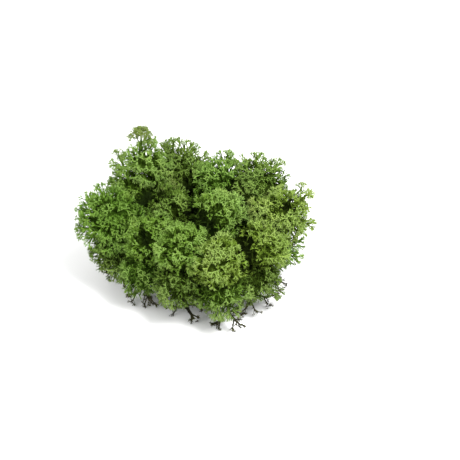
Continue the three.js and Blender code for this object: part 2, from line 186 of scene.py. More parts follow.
# Each kind's colours of the tips, the branches and the depths, in linear light. The depths' colours stand both for the
# dark bases of the growth and for painted shade deep in tufts and between them.
SHADES = {
    "fresh": ((0.182, 0.286, 0.07), (0.106, 0.199, 0.021), (0.024, 0.05, 0.003)),
    "bright": ((0.207, 0.293, 0.076), (0.129, 0.21, 0.021), (0.032, 0.055, 0.004)),
    "olive": ((0.148, 0.228, 0.053), (0.081, 0.148, 0.017), (0.022, 0.04, 0.003)),
    "deep": ((0.158, 0.262, 0.056), (0.088, 0.181, 0.018), (0.022, 0.05, 0.003)),
    "low": ((0.13, 0.175, 0.055), (0.06, 0.085, 0.022)),
    "old": ((0.1, 0.1, 0.04), (0.035, 0.034, 0.015), (0.01, 0.01, 0.005)),
}
PARTS = ("tips", "branches", "depths")


@named
class MossColours(PropertyGroup):
    """Colours of each kind of growth."""

    __annotations__ = {
        f"{kind}_{part}": colour(f"{part.capitalize()} of {kind} growth", shade)
        for kind, shades in SHADES.items() for part, shade in zip(PARTS, shades)
    }


@named
class StageSettings(PropertyGroup):
    """The floor, the lights and the camera."""

    floor_size: length("Side of the square floor", 6.0)
    floor_colour: colour("The floor's colour", (0.92, 0.92, 0.92))
    sky_strength: factor("Light from all round", 1.0)
    key_power: power("Power of the large soft key light", 15.2)
    key_place: spot("Where the key light hangs", (0.35, -0.4, 0.77))
    key_size: length("Side of the square key light", 0.35)
    fill_power: power("Power of the soft fill light", 5)
    fill_place: spot("Where the fill light hangs", (-0.7, -0.5, 0.5))
    fill_size: length("Side of the square fill light", 0.6)
    elevation: angle("Angle of the camera over the floor", math.radians(33.2))
    distance: length("From the camera to what it aims at", 1.197)
    lens: focus("Focal length of the camera", 135)
    aim: spot("What the camera and the lights aim at", (0.0240, 0.0076, 0.04))


class ClumpSettings(PropertyGroup):
    """All settings of the clump."""

    sprig: PointerProperty(type=SprigSettings)
    cover: PointerProperty(type=CoverSettings)
    colours: PointerProperty(type=MossColours)
    stage: PointerProperty(type=StageSettings)


def settings():
    """The scene's clump settings."""
    return bpy.context.scene.moss_clump


def added(name, data):
    """A new object in the scene."""
    made = bpy.data.objects.new(name, data)
    bpy.context.scene.collection.objects.link(made)
    return made


# ---- Node trees ----


def operator(operation):
    """A Math node's operation as a method, and its reflected form."""
    return (lambda self, other: self.math(operation, self, other),
            lambda self, other: self.math(operation, other, self))


class Value:
    """A node socket for arithmetic: each operation adds a Math node."""

    __add__, __radd__ = operator("ADD")
    __sub__, __rsub__ = operator("SUBTRACT")
    __mul__, __rmul__ = operator("MULTIPLY")
    __truediv__, __rtruediv__ = operator("DIVIDE")
    __lt__, __gt__ = operator("LESS_THAN")[0], operator("GREATER_THAN")[0]

    def __init__(self, plan, socket):
        self.plan, self.socket = plan, socket

    def math(self, operation, *values):
        """A Math node's result."""
        return self.plan.node("ShaderNodeMath", *values, operation=operation)

    def at_least(self, low):
        """This value, or low where that is more."""
        return self.math("MAXIMUM", self, low)

    def clamped(self):
        """This value, held between 0 and 1."""
        return self.math("MINIMUM", self.at_least(0.0), 1.0)

    def lifted(self, low):
        """This value, from 0 to 1, made to run from low to 1."""
        return self * (1 - low) + low


class Plan:
    """A node tree under construction."""

    def __init__(self, tree):
        self.tree = tree

    def node(self, kind, *values, out=0, **named):
        """Adds a node: first its settings, which are named in lower case, then its sockets in order or by name.
        Returns its first output, or what out names."""
        made = self.tree.nodes.new(kind)
        for name, given in named.items():
            if name == "stops":
                self._set_stops(made.color_ramp, given)
            elif name.islower():
                setattr(made, name, given)
        sockets = [s for s in made.inputs if s.enabled]
        for socket, given in zip(sockets, values):
            self._feed(socket, given)
        for name, given in named.items():
            if not name.islower():
                self._feed(next(s for s in sockets if s.name.lower() == name.replace("_", " ").lower()), given)
        outputs = [Value(self, s) for s in made.outputs if s.enabled]
        if out == 0:
            return outputs[0] if outputs else None
        found = {value.socket.name: value for value in outputs}
        return found[out] if isinstance(out, str) else [found[name] for name in out]

    def _feed(self, socket, given):
        """Sets or links a socket."""
        if isinstance(given, list):
            for one in given:
                self._feed(socket, one)
        elif isinstance(given, Value):
            self.tree.links.new(given.socket, socket)
        elif given is not None:
            socket.default_value = (*given, 1.0) if socket.type == "RGBA" else given

    @staticmethod
    def _set_stops(ramp, stops):
        """Sets a colour ramp's places and colours."""
        while len(ramp.elements) < len(stops):
            ramp.elements.new(1.0)
        for element, (place, shade) in zip(ramp.elements, stops):
            element.position, element.color = place, (*shade, 1.0)

    def mix(self, factor, first, second):
        """Two colours mixed."""
        return self.node("ShaderNodeMix", factor, first, second, data_type="RGBA")


# ---- Materials ----

PATCH_SCALE, GRAIN_SCALE = 70.0, 1500.0  # of the noise for a tuft's unlike places and for the skin's grain
RAMP_PLACES = (0.1, 0.5, 0.95)  # where the colours of the depths, the branches and the tips lie on the ramp of ripeness and painted shade
INNER_SHADE, CLOSED_SHADE = 0.3, 0.4  # painted shade: the share of the ramp place that is kept deep in a tuft, and between tufts
GRAIN_RIPE = 0.2  # how far the grain moves the ramp place
LOOSE_STANDING = 1.9  # growth that stands further out is on a loose spray
LOW_HEIGHT, LOWERING = 55 * MM, 0.9  # lower growth turns towards the low colours, this far at the floor
DIMMED, DIMMING = (0.1, 0.1, 0.1), 0.97  # where no light falls in, the dimmed depths' colour takes over this far,
DIM_TIPS = 0.36  # and less so at tips, by this
ROUGHNESS, GRAIN_ROUGHNESS = 0.72, 0.2  # the second is what the grain adds
BUMP_STRENGTH, BUMP_HEIGHT, GLOSS = 0.35, 0.2 * MM, 0.04

# Tones are mixed in by noise: their factors on a colour, the noise at which they start and how steeply they rise, and
# how much of them there is at least and is added by what they vary with.
Tone = collections.namedtuple("Tone", "factors start steepness least added")
AGED = Tone((1.25, 1.06, 0.75), 0.42, 2.2, 0.2, 0.55)  # tips, the more the sprig has of its tint
DULL = Tone((0.86, 0.8, 0.85), 0.5, -3.0, 0.25, 0.45)  # branches, the more the sprig lacks of it
WORN = Tone((0.72, 0.52, 0.6), 0.4, 4.0, 0.3, 0.6)  # tips of loose sprays, the more the coarser their grain


def toned(shade, factors):
    """A colour with its channels multiplied."""
    return tuple(min(1.0, channel * times) for channel, times in zip(shade, factors))


def moss_material(node):
    """A node's growth: dark in the depths, bright at the tips, uneven from place to place."""
    kind = SLOTS[node].replace("moss_", "").replace("old_stem", "old")
    name = "old_growth" if kind == "old" else f"moss_{kind}_growth"
    if name in bpy.data.materials:
        return bpy.data.materials[name]
    colours = settings().colours
    tip, body, deep = (tuple(getattr(colours, f"{kind}_{part}")) for part in PARTS)
    low_tip, low_body = (tip, body) if kind == "old" else (tuple(colours.low_tips), tuple(colours.low_branches))
    material = bpy.data.materials.new(name)
    material.use_nodes = True
    material.node_tree.nodes.clear()
    plan = Plan(material.node_tree)
    place = plan.node("ShaderNodeTexCoord", out="Object")
    patches, grains = (plan.node("ShaderNodeTexNoise", Vector=place, Scale=scale, out="Fac")
                       for scale in (PATCH_SCALE, GRAIN_SCALE))
    level, tint, standing, clear = (plan.node("ShaderNodeAttribute", attribute_name=attribute, out="Fac")
                                    for attribute in ("level", "tint", "standing", "open"))
    low = plan.node("ShaderNodeSeparateXYZ", Vector=place, out="Z") / LOW_HEIGHT
    loose = (standing - LOOSE_STANDING).clamped()
    # Painted shade: the ramp place falls deep in a tuft and close to other tufts, on top of its real rise from the
    # growth's base to its tips.
    ripeness_and_shade = level * standing.clamped().lifted(INNER_SHADE) * clear.lifted(CLOSED_SHADE)
    ripeness_and_shade = (ripeness_and_shade + (grains - 0.5) * GRAIN_RIPE).clamped()
    shade, low_shade = (plan.node("ShaderNodeValToRGB", ripeness_and_shade, stops=list(zip(RAMP_PLACES, shades)))
                        for shades in ((deep, body, tip), (deep, low_body, low_tip)))
    lowering = (1 - low).clamped() * LOWERING
    dimming = (1 - level * DIM_TIPS - clear * (1.0 + level)).clamped() * DIMMING
    aged, dull = (((patches - tone.start) * tone.steepness).clamped() * (share * tone.added + tone.least) * ripeness_and_shade
                  for tone, share in ((AGED, tint), (DULL, 1 - tint)))
    worn = loose * (((grains - WORN.start) * WORN.steepness).clamped() * WORN.added + WORN.least)
    shade = plan.mix(aged, shade, toned(tip, AGED.factors))
    shade = plan.mix(dull, shade, toned(body, DULL.factors))
    shade = plan.mix(worn, shade, toned(tip, WORN.factors))
    shade = plan.mix(lowering, shade, low_shade)
    shade = plan.mix(dimming, shade, toned(deep, DIMMED))
    bump = plan.node("ShaderNodeBump", Strength=BUMP_STRENGTH, Distance=BUMP_HEIGHT, Height=grains)
    rough = grains * GRAIN_ROUGHNESS + ROUGHNESS
    shader = plan.node("ShaderNodeBsdfPrincipled", Base_Color=shade, Roughness=rough, Normal=bump,
                       Specular_IOR_Level=GLOSS)
    plan.node("ShaderNodeOutputMaterial", Surface=shader)
    return material


# ---- Sprigs ----

# The stalk and the first branches of a sprig by how often it forks, as shares of its height.
SPRIG_SHAPES = {0: (0.9, 0.1), 1: (0.3, 0.53), 2: (0.42, 0.28), 3: (0.4, 0.27)}
LESSER_HEIGHT = 0.8  # of the sprigs that crown twigs, beside the others
STUB_HEIGHT = 3.0 * MM  # of the worn stubs on old stems
FOOT_DEPTH = 1.0 * MM  # how far a sprig's foot is sunk
HEIGHTS, LENGTHS, LEANS = (0.85, 1.1), (0.75, 1.2), (0.7, 1.25)  # ranges: of a sprig, and of a branch
STALK_LEAN = 0.12  # a stalk leans up to this far each way
STALK_TAPER, BRANCH_TAPER = 0.92, 0.88  # how thick each is at its end, beside its start
BRANCH_SHORTENING = 0.76  # of a branch, beside the one that it forks off
FORK_RISE, STAR_RISE = 0.5, -0.15  # how far past a branch's end its fork's middle lies, beside its radius
HEART_HEIGHT = 0.7  # how far up the stalk a head's heart lies
STALK_LEVEL = 0.25  # at a stalk's end
FORK_LEVEL, LAST_LEVEL = 0.45, 0.6  # each branch, and each last one, goes this share of the rest of the way to 1
STAR_LEVEL = 0.9  # in a star's middle, beside that of its branch


class Sprig:
    """A stalk that stands on the origin and carries a round head of branches, in one closed skin of three-sided
    threads. Where one forks, its end splits in three round a point in its middle."""

    def __init__(self, forks, height, radius, star, rules, draw):
        self.star, self.rules, self.draw = star, rules, draw
        self.points, self.levels, self.faces = [], [], []
        stalk_share, branch_share = SPRIG_SHAPES[forks]
        tall = height * draw.uniform(*HEIGHTS)
        axis = Vector((draw.uniform(-STALK_LEAN, STALK_LEAN), draw.uniform(-STALK_LEAN, STALK_LEAN), 1)).normalized()
        foot, up = Vector((0, 0, -FOOT_DEPTH)), Vector((0, 0, 1))
        across = up.orthogonal().normalized()
        along = up.cross(across)
        ring = []
        for k in range(3):
            turn = 2 * math.pi * k / 3
            ring.append(self.point(foot + (across * math.cos(turn) + along * math.sin(turn)) * radius, 0.0))
        self.faces.append(ring[::-1])
        radius *= STALK_TAPER
        top = self.thread((ring, foot), axis * tall * stalk_share, radius, STALK_LEVEL)
        self.heart = axis * tall * stalk_share * HEART_HEIGHT
        self.branch_out(top, axis, tall * branch_share, radius, forks, STALK_LEVEL)

    def point(self, place, level):
        """Adds a corner and returns its number."""
        self.points.append(Vector(place))
        self.levels.append(level)
        return len(self.points) - 1

    def thread(self, end, to, radius, level):
        """Carries an end, which is a ring of corners and its middle, on to a new place."""
        ring, at = end
        axis = (to - at).normalized()
        new = []
        for index in ring:
            offset = self.points[index] - at
            offset -= axis * offset.dot(axis)
            new.append(self.point(to + offset.normalized() * radius, level))
        for k in range(3):
            j = (k + 1) % 3
            self.faces += [[ring[k], ring[j], new[j]], [ring[k], new[j], new[k]]]
        return new, to

    def fork(self, end, axis, rise, level):
        """Splits an end in three. Yields each and the way outwards there."""
        ring, at = end
        middle = self.point(at + axis * rise, level)
        for k in range(3):
            pair = [ring[k], ring[(k + 1) % 3]]
            outwards = (self.points[pair[0]] + self.points[pair[1]]) / 2 - at
            outwards -= axis * outwards.dot(axis)
            new = [*pair, middle]
            centre = sum((self.points[i] for i in new), Vector()) / 3
            yield (new, centre), outwards.normalized()

    def sharpen(self, end, to, level):
        """Draws an end out to a point."""
        ring, _ = end
        tip = self.point(to, level)
        for k in range(3):
            self.faces.append([ring[k], ring[(k + 1) % 3], tip])

    def branch_out(self, end, axis, reach, radius, forks, level):
        """Forks an end and its branches, away from the head's heart, and ends the last ones in stars of points."""
        rules, draw = self.rules, self.draw
        next_level = level + (1 - level) * (FORK_LEVEL if forks > 1 else LAST_LEVEL)
        rise = radius * (FORK_RISE if forks else STAR_RISE)
        narrow = radius * BRANCH_TAPER
        for branch, outwards in self.fork(end, axis, rise, level if forks else level * STAR_LEVEL):
            lean = (rules.spread if forks else rules.star_spread) * draw.uniform(*LEANS)
            way = axis * math.cos(lean) + outwards * math.sin(lean)
            if forks == 0:
                self.sharpen(branch, end[1] + way * self.star * draw.uniform(*LENGTHS), 1.0)
                continue
            away = (end[1] + way * reach - self.heart).normalized()
            way = (way + away * rules.roundness).normalized()
            to = end[1] + axis * rise + way * reach * draw.uniform(*LENGTHS)
            grown = self.thread(branch, to, narrow, next_level)
            self.branch_out(grown, way, reach * BRANCH_SHORTENING, narrow, forks - 1, next_level)

    def mesh(self, name):
        """The sprig as a mesh."""
        made = bpy.data.meshes.new(name)
        made.from_pydata([tuple(p) for p in self.points], [], self.faces)
        made.attributes.new("level", "FLOAT", "POINT").data.foreach_set("value", self.levels)
        made.update()
        return made


def sprig_shapes():
    """How often each kind of sprig forks, its height, its stalk's radius and its points' length."""
    rules, cover = settings().sprig, settings().cover
    height, *usual = rules.height, rules.stalk_radius, rules.star_reach
    return {
        "heads": (3, height, *usual),
        "sprigs": (2, height, *usual),
        "branchlets": (2, LESSER_HEIGHT * height, *usual),
        "crowns": (1, LESSER_HEIGHT * height, *usual),
        "stubs": (1, STUB_HEIGHT, *usual),
        "shoots": (0, cover.shoot_height, cover.shoot_radius, cover.shoot_star),
    }


def sprigs_called(name):
    """The collection of one kind of sprigs, each of its own shape, grown when first asked for."""
    if name in bpy.data.collections:
        return bpy.data.collections[name]
    rules = settings().sprig
    shape = sprig_shapes()[name]
    draw = random.Random(rules.seed + shape[0])
    collection = bpy.data.collections.new(name)
    for k in range(rules.variants):
        mesh = Sprig(*shape, rules, draw).mesh(f"{name}_{k}")
        collection.objects.link(bpy.data.objects.new(mesh.name, mesh))
    return collection


def clear_sprigs():
    """Removes the single sprigs, once every piece has its copies."""
    for name in sprig_shapes():
        collection = bpy.data.collections[name]
        for sprig in list(collection.objects):
            bpy.data.objects.remove(sprig)
        bpy.data.collections.remove(collection)


# ---- Packed tufts ----


def unit(vectors, least=NO_LENGTH):
    """Each vector with its length made 1."""
    return vectors / np.maximum(np.linalg.norm(vectors, axis=1), least)[:, None]


@functools.cache
def packed_tuft(node):
    """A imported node's merged corners and its faces and, for each face, how thick the solid behind it is, its normal,
    and whether it belongs to the core."""
    mesh = frame["nodes"][node].data
    corners = np.empty(len(mesh.vertices) * 3)
    mesh.vertices.foreach_get("co", corners)
    corners = corners.reshape(-1, 3)
    places = np.round(corners / MERGE_DISTANCE).astype(np.int64)
    _, first, back = np.unique(places, axis=0, return_index=True, return_inverse=True)
    mesh.calc_loop_triangles()
    faces = np.empty(len(mesh.loop_triangles) * 3, int)
    mesh.loop_triangles.foreach_get("vertices", faces)
    faces = back.reshape(-1)[faces].reshape(-1, 3)
    corners, faces = corners[first], faces[(faces != np.roll(faces, 1, axis=1)).all(axis=1)]

    tree = BVHTree.FromPolygons([tuple(c) for c in corners], faces.tolist())
    a, b, c = (corners[faces[:, k]] for k in range(3))
    across = np.cross(b - a, c - a)
    normals = unit(across, NO_AREA)
    starts = (a + b + c) / 3 - normals * RAY_START
    depth = np.array([tree.ray_cast(Vector(start), Vector(-normal))[3] or 0.0
                      for start, normal in zip(starts, normals)])
    longest = np.max([np.linalg.norm(side, axis=1) for side in (b - a, c - b, a - c)], axis=0)
    breadth = np.linalg.norm(across, axis=1) / np.maximum(longest, NO_LENGTH)
    return corners, faces, depth, normals, (depth > CORE_THICKNESS) | (breadth > TWIG_BREADTH)


def spread_out(corners, faces, values):
    """Each corner's mean of the values of the faces round it."""
    total = np.zeros((len(corners), values.shape[1]))
    count = np.zeros(len(corners))
    for k in range(3):
        np.add.at(total, faces[:, k], values)
        np.add.at(count, faces[:, k], 1)
    return total / np.maximum(count, 1)[:, None]


def tips_of(corners, faces):
    """Which corners are sharp tips, and the way that each one points."""
    angles = np.zeros(len(corners))
    count = np.zeros(len(corners), int)
    around = np.zeros((len(corners), 3))
    for k in range(3):
        here, left, right = (corners[faces[:, (k + j) % 3]] for j in range(3))
        u, v = left - here, right - here
        cosine = (u * v).sum(1) / np.maximum(np.linalg.norm(u, axis=1) * np.linalg.norm(v, axis=1), NO_LENGTH)
        np.add.at(angles, faces[:, k], np.arccos(cosine.clip(-1, 1)))
        np.add.at(count, faces[:, k], 1)
        np.add.at(around, faces[:, k], (left + right) / 2)
    sharp = (count == 3) & (angles < TIP_ANGLES)
    return sharp, unit(corners - around / np.maximum(count, 1)[:, None])


def growth_base(node, everywhere, overgrown):
    """A mesh of the node to grow on, its middle and its reach. Core is 1 on faces that sprigs cover, tip is 1 on
    twigs' tips and 2 on sprays', way is where growth points, and level and tint are for the colours."""
    corners, faces, depth, normals, in_core = packed_tuft(node)
    sharp, tip_way = tips_of(corners, faces)
    thickness = spread_out(corners, faces, depth[:, None])[:, 0].clip(0, CORE_THICKNESS)
    on_core = np.zeros(len(corners), bool)
    on_core[faces[in_core].ravel()] = True
    level = np.interp(thickness, TWIG_THICKNESSES, TWIG_LEVELS)
    level[on_core] = 0.0
    level[sharp] = TIP_LEVEL
    slim = corners - spread_out(corners, faces, normals) * (TWIG_SLIMMING * thickness)[:, None]
    corners = np.where((on_core | sharp)[:, None], corners, slim)

    inner = on_core if in_core.any() else ~on_core
    middle = corners[inner].mean(axis=0)
    away = corners - middle
    distance = np.linalg.norm(away, axis=1)
    skin = np.median(distance[inner])
    reach = TUFT_REACH * skin
    if not everywhere:
        drawn = distance - TWIG_SHORTENING * (distance - skin).clip(0, reach - skin) * ~on_core
        away *= (drawn / np.maximum(distance, NO_LENGTH))[:, None]
        corners, distance = middle + away, drawn
    level[distance > reach] *= SPRAY_DIMMING
    way = away / np.maximum(distance, NO_LENGTH)[:, None]
    way[sharp] = tip_way[sharp]

    limit = np.inf if everywhere else overgrown * reach
    covered = in_core | on_core[faces].all(axis=1) | (distance[faces].max(axis=1) < limit)
    on_twig = everywhere | (distance < SPRAY_REACH * reach)
    mesh = bpy.data.meshes.new(node + "_base")
    mesh.from_pydata(corners.tolist(), [], faces.tolist())
    for name, domain, values in (
        ("core", "FACE", covered),
        ("tip", "POINT", sharp * np.where(on_twig, 1.0, 2.0)),
        ("level", "POINT", level),
        ("tint", "POINT", np.full(len(corners), 0.5)),
    ):
        mesh.attributes.new(name, "FLOAT", domain).data.foreach_set("value", values.astype(np.float32))
    mesh.attributes.new("way", "FLOAT_VECTOR", "POINT").data.foreach_set("vector", way.astype(np.float32).ravel())
    mesh.update()
    return mesh, middle, reach


def mark_standing(mesh, middle, reach):
    """Writes how far out of its tuft each corner stands, and lays what would reach into the floor on it."""
    places = np.empty(len(mesh.vertices) * 3, np.float32)
    mesh.vertices.foreach_get("co", places)
    places[2::3] = places[2::3].clip(0)
    mesh.vertices.foreach_set("co", places)
    out = np.linalg.norm(places.reshape(-1, 3) - middle, axis=1) / reach
    standing = ((out - DEEP_SHARE) / OUTER_SHARE).clip(0, MOST_STANDING)
    mesh.attributes.new("standing", "FLOAT", "POINT").data.foreach_set("value", standing.astype(np.float32))


def neighbours(node):
    """Every other tuft's core, as one object."""
    places, skins, start = [], [], 0
    for other in frame["nodes"]:
        if other == node or other in OLD_STEMS:
            continue
        corners, faces, _, _, in_core = packed_tuft(other)
        places.append(corners)
        skins.append(faces[in_core] + start)
        start += len(corners)
    mesh = bpy.data.meshes.new("neighbours")
    mesh.from_pydata(np.concatenate(places).tolist(), [], np.concatenate(skins).tolist())
    return bpy.data.objects.new("neighbours", mesh)


def hollow_points():
    """The hollows' points, as one object."""
    mesh = bpy.data.meshes.new("hollows")
    mesh.from_pydata([(x * MM, y * MM, z * MM) for x, y, z, _ in HOLLOWS], [], [])
    mesh.attributes.new("width", "FLOAT", "POINT").data.foreach_set("value", [row[3] * MM for row in HOLLOWS])
    return bpy.data.objects.new("hollows", mesh)


# ---- Growth ----

# The tree's inputs: those that are cover settings, and every one's sort of socket.
COVER_INPUTS = ("Spacing", "Shoot Spacing", "Outlook", "Hidden", "Valley", "Hollow", "Shyness", "Detail", "Upright",
                "Tilt", "Smallest", "Largest", "Crown Size", "Crown Sink", "Floret Size", "Floret Sink")
GROWTH_INPUTS = {
    **dict.fromkeys(("Neighbours", "Hollows"), "Object"),
    **dict.fromkeys(("Sprigs", "Lesser Sprigs", "Crowns", "Florets", "Shoots"), "Collection"),
    **dict.fromkeys(("Reach", "Lumps", *COVER_INPUTS), "Float"),
    **dict.fromkeys(("Rounding", "Seed"), "Int"),
    "Material": "Material",
}
DENSITY = 2.5e6  # places tried on a square metre, so many that the spacing decides
ANY_SHAPE = 999  # more than a collection holds, as the pick goes round
FLOOR_MARGIN = 4.0 * MM  # a sprig that stands lower leans up
HOLLOW_BOTTOM, HOLLOW_SIDE = 0.5, 0.8  # it is deepest within the first share of its width, and ends after the next
LEAST_OPEN = 0.03  # how open to the light the deepest place still is
LEAST_FREE = 0.12  # no sprig grows where it is less free of a hollow
SHOOTS_HIDDEN = 0.5  # shoots need this share of the room that sprigs need
CROWN_TILT = 0.3  # how far the sprigs on twigs' tips lean at random
LUMPS_FROM, LUMPS_SPAN = 0.35, 0.3  # growth is lowest where the noise is under the first, and highest past both
LUMPS_LOW, LUMPS_RISE = 0.68, 0.6  # its size where it is lowest, and what is added where it is highest
CLOSED_SIZE, FACING_SIZE = 0.5, 0.55  # a sprig's size with another tuft close by, and with one close in front of it,
HOLLOW_SIZE, HOLLOW_SHOOT = 0.45, 0.5  # and in a hollow, and a short shoot's there, beside those in the open


class Growth(Plan):
    """The node tree that rounds a base and sets sprigs on it. Every random draw has a salt of its own."""

    def __init__(self, tree):
        super().__init__(tree)
        for name, kind in (("Geometry", "Geometry"), *GROWTH_INPUTS.items()):
            tree.interface.new_socket(name, in_out="INPUT", socket_type="NodeSocket" + kind)
        tree.interface.new_socket("Geometry", in_out="OUTPUT", socket_type="NodeSocketGeometry")
        names = ("Geometry", *GROWTH_INPUTS)
        self.given = dict(zip(names, self.node("NodeGroupInput", out=names)))
        self.place = self.node("GeometryNodeInputPosition")
        self.way = self.attribute("way", "FLOAT_VECTOR")
        self.around, self.hollows = (self.node("GeometryNodeObjectInfo", Object=self.given[name], out="Geometry")
                                     for name in ("Neighbours", "Hollows"))
        gap, self.wall = self.node("GeometryNodeProximity", self.around, out=("Distance", "Position"))
        # Closeness to another tuft makes sprigs smaller and, through the open attribute, darkens them with painted
        # shade.
        self.clearance = (gap / self.given["Valley"]).clamped()
        self.open, self.free, self.ahead = (self.attribute(name) for name in ("open", "free", "ahead"))

    def attribute(self, name, kind="FLOAT"):
        """A named attribute of the geometry."""
        return self.node("GeometryNodeInputNamedAttribute", data_type=kind, Name=name)

    def noting(self, geometry, name, number, domain="POINT"):
        """The geometry with a number written to a named attribute."""
        return self.node("GeometryNodeStoreNamedAttribute", domain=domain, Geometry=geometry, Name=name, Value=number)

    def vector(self, operation, *values, **named):
        """A Vector Math node's result."""
        return self.node("ShaderNodeVectorMath", *values, operation=operation, **named)

    def plus(self, first, second, scale=None):
        """One vector and another, which may be scaled first."""
        return self.vector("ADD", first, second if scale is None else self.vector("SCALE", second, Scale=scale))

    def draw(self, salt, low=0.0, high=1.0, kind="FLOAT"):
        """A random value for each point."""
        return self.node("FunctionNodeRandomValue", data_type=kind, Min=low, Max=high, Seed=self.given["Seed"] + salt)

    def leaning(self, way, tilt, salt):
        """The way, leaning at random, and up where it would lead into the floor."""
        any_way = self.draw(salt, (-1.0, -1.0, -1.0), (1.0, 1.0, 1.0), "FLOAT_VECTOR")
        tilted = self.vector("NORMALIZE", self.plus(way, any_way, tilt))
        height = self.node("ShaderNodeSeparateXYZ", self.place, out="Z")
        x, y, z = self.node("ShaderNodeSeparateXYZ", tilted, out=("X", "Y", "Z"))
        lowest = (FLOOR_MARGIN - height) / self.given["Reach"]
        return self.vector("NORMALIZE", self.node("ShaderNodeCombineXYZ", x, y, z.at_least(lowest)))

    def before(self, way):
        """The spot that a sprig from here grows through."""
        return self.plus(self.place, way, self.given["Reach"] * 0.5)

    def standing(self, way, salt):
        """A turn that stands a sprig along the way, turned at random about itself."""
        upright = self.node("FunctionNodeAlignRotationToVector", axis="Z", Vector=way)
        turn = self.node("FunctionNodeAxisAngleToRotation", (0.0, 0.0, 1.0), self.draw(salt, 0.0, 2 * math.pi))
        return self.node("FunctionNodeRotateRotation", rotation_space="LOCAL", Rotation=upright, Rotate_By=turn)

    def freedom(self, spot):
        """0 in a hollow and 1 out of it."""
        near = self.node("GeometryNodeSampleNearest", Geometry=self.hollows, Sample_Position=spot)
        width = self.node("GeometryNodeSampleIndex", Geometry=self.hollows, Value=self.attribute("width"), Index=near)
        distance = self.node("GeometryNodeProximity", self.hollows, target_element="POINTS", Sample_Position=spot,
                             out="Distance")
        return ((distance / (width * self.given["Hollow"]) - HOLLOW_BOTTOM) / HOLLOW_SIDE).clamped()

    def looking_out(self, points, way, least_free, least_ahead):
        """The points that no hollow or other tuft hides, with how free each is and how open the way ahead."""
        outlook = self.given["Outlook"]
        hit, depth = self.node("GeometryNodeRaycast", Target_Geometry=self.around, Ray_Direction=way,
                               Ray_Length=outlook, out=("Is Hit", "Hit Distance"))
        noted = self.noting(points, "ahead", 1 - hit * (1 - depth / outlook))
        noted = self.noting(noted, "free", self.freedom(self.before(way)))
        hidden = self.node("FunctionNodeBooleanMath", self.ahead < least_ahead, self.free < least_free, operation="OR")
        return self.node("GeometryNodeDeleteGeometry", Geometry=noted, Selection=hidden)

    def scattered(self, mesh, apart, salt):
        """Points on core faces, at least this far apart, and the skin's normal there."""
        return self.node("GeometryNodeDistributePointsOnFaces", distribute_method="POISSON", Mesh=mesh,
                         Selection=self.attribute("core") > 0.5, Distance_Min=apart, Density_Max=DENSITY,
                         Seed=self.given["Seed"] + salt, out=("Points", "Normal"))

    def planted(self, points, collection, way, size, tint_salt, salt, only=True):
        """Any sprig of a collection on each of the points."""
        choices = self.node("GeometryNodeCollectionInfo", Collection=collection, Separate_Children=True,
                            Reset_Children=True)
        sprigs = self.node("GeometryNodeInstanceOnPoints", Points=points, Selection=only, Instance=choices,
                           Pick_Instance=True, Instance_Index=self.draw(salt, 0, ANY_SHAPE, "INT"),
                           Rotation=self.standing(way, salt + 1), Scale=size)
        tinted = self.noting(sprigs, "tint", self.draw(tint_salt), "INSTANCE")
        return self.noting(tinted, "open", self.open * self.free, "INSTANCE")

    def any_size(self, salt):
        """A random size from the smallest to the largest."""
        return self.draw(salt, self.given["Smallest"], self.given["Largest"])

    def cover(self, base):
        """Sprigs over the core, the much-forked ones where there is room."""
        given = self.given
        points, normal = self.scattered(base, given["Spacing"], 0)
        away = self.plus(self.way, normal, given["Upright"])
        off = self.vector("NORMALIZE", self.vector("SUBTRACT", self.place, self.wall))
        away = self.plus(away, off, (1 - self.clearance) * given["Shyness"])
        way = self.leaning(self.vector("NORMALIZE", away), given["Tilt"], 1)
        noise = self.node("ShaderNodeTexNoise", Vector=self.place, Scale=given["Lumps"], Detail=1.0, out="Fac")
        lumps = ((noise - LUMPS_FROM) / LUMPS_SPAN).clamped() * LUMPS_RISE + LUMPS_LOW
        size = self.open.lifted(CLOSED_SIZE) * self.any_size(3) * lumps
        size = size * self.ahead.lifted(FACING_SIZE) * self.free.lifted(HOLLOW_SIZE)
        seen = self.looking_out(points, way, LEAST_FREE, given["Hidden"])
        roomy = self.open * self.ahead > given["Detail"]
        return [self.planted(seen, given["Sprigs"], way, size, 4, 10, roomy),
                self.planted(seen, given["Lesser Sprigs"], way, size, 5, 15, 1 - roomy)]

    def shoots(self, base):
        """Short shoots between the sprigs, down into the hollows."""
        points, normal = self.scattered(base, self.given["Shoot Spacing"], 30)
        away = self.vector("NORMALIZE", self.plus(normal, self.way))
        way = self.leaning(away, self.given["Tilt"], 31)
        size = self.any_size(32) * self.free.lifted(HOLLOW_SHOOT)
        seen = self.looking_out(points, way, 0.0, self.given["Hidden"] * SHOOTS_HIDDEN)
        return self.planted(seen, self.given["Shoots"], way, size, 33, 34)

    def crowning(self, base, tips, kind, salt):
        """Sprigs sunk into the ends of twigs."""
        given = self.given
        ends = self.node("GeometryNodeMeshToPoints", Mesh=base, Selection=tips)
        way = self.leaning(self.way, CROWN_TILT, salt)
        size = given[kind + " Size"] * self.any_size(salt + 1)
        sink = self.vector("SCALE", way, Scale=size * given["Reach"] * given[kind + " Sink"] * -1.0)
        seen = self.looking_out(ends, way, LEAST_FREE, given["Hidden"])
        sunk = self.node("GeometryNodeSetPosition", Geometry=seen, Offset=sink)
        return self.planted(sunk, given[kind + "s"], way, size, salt + 2, salt + 3)

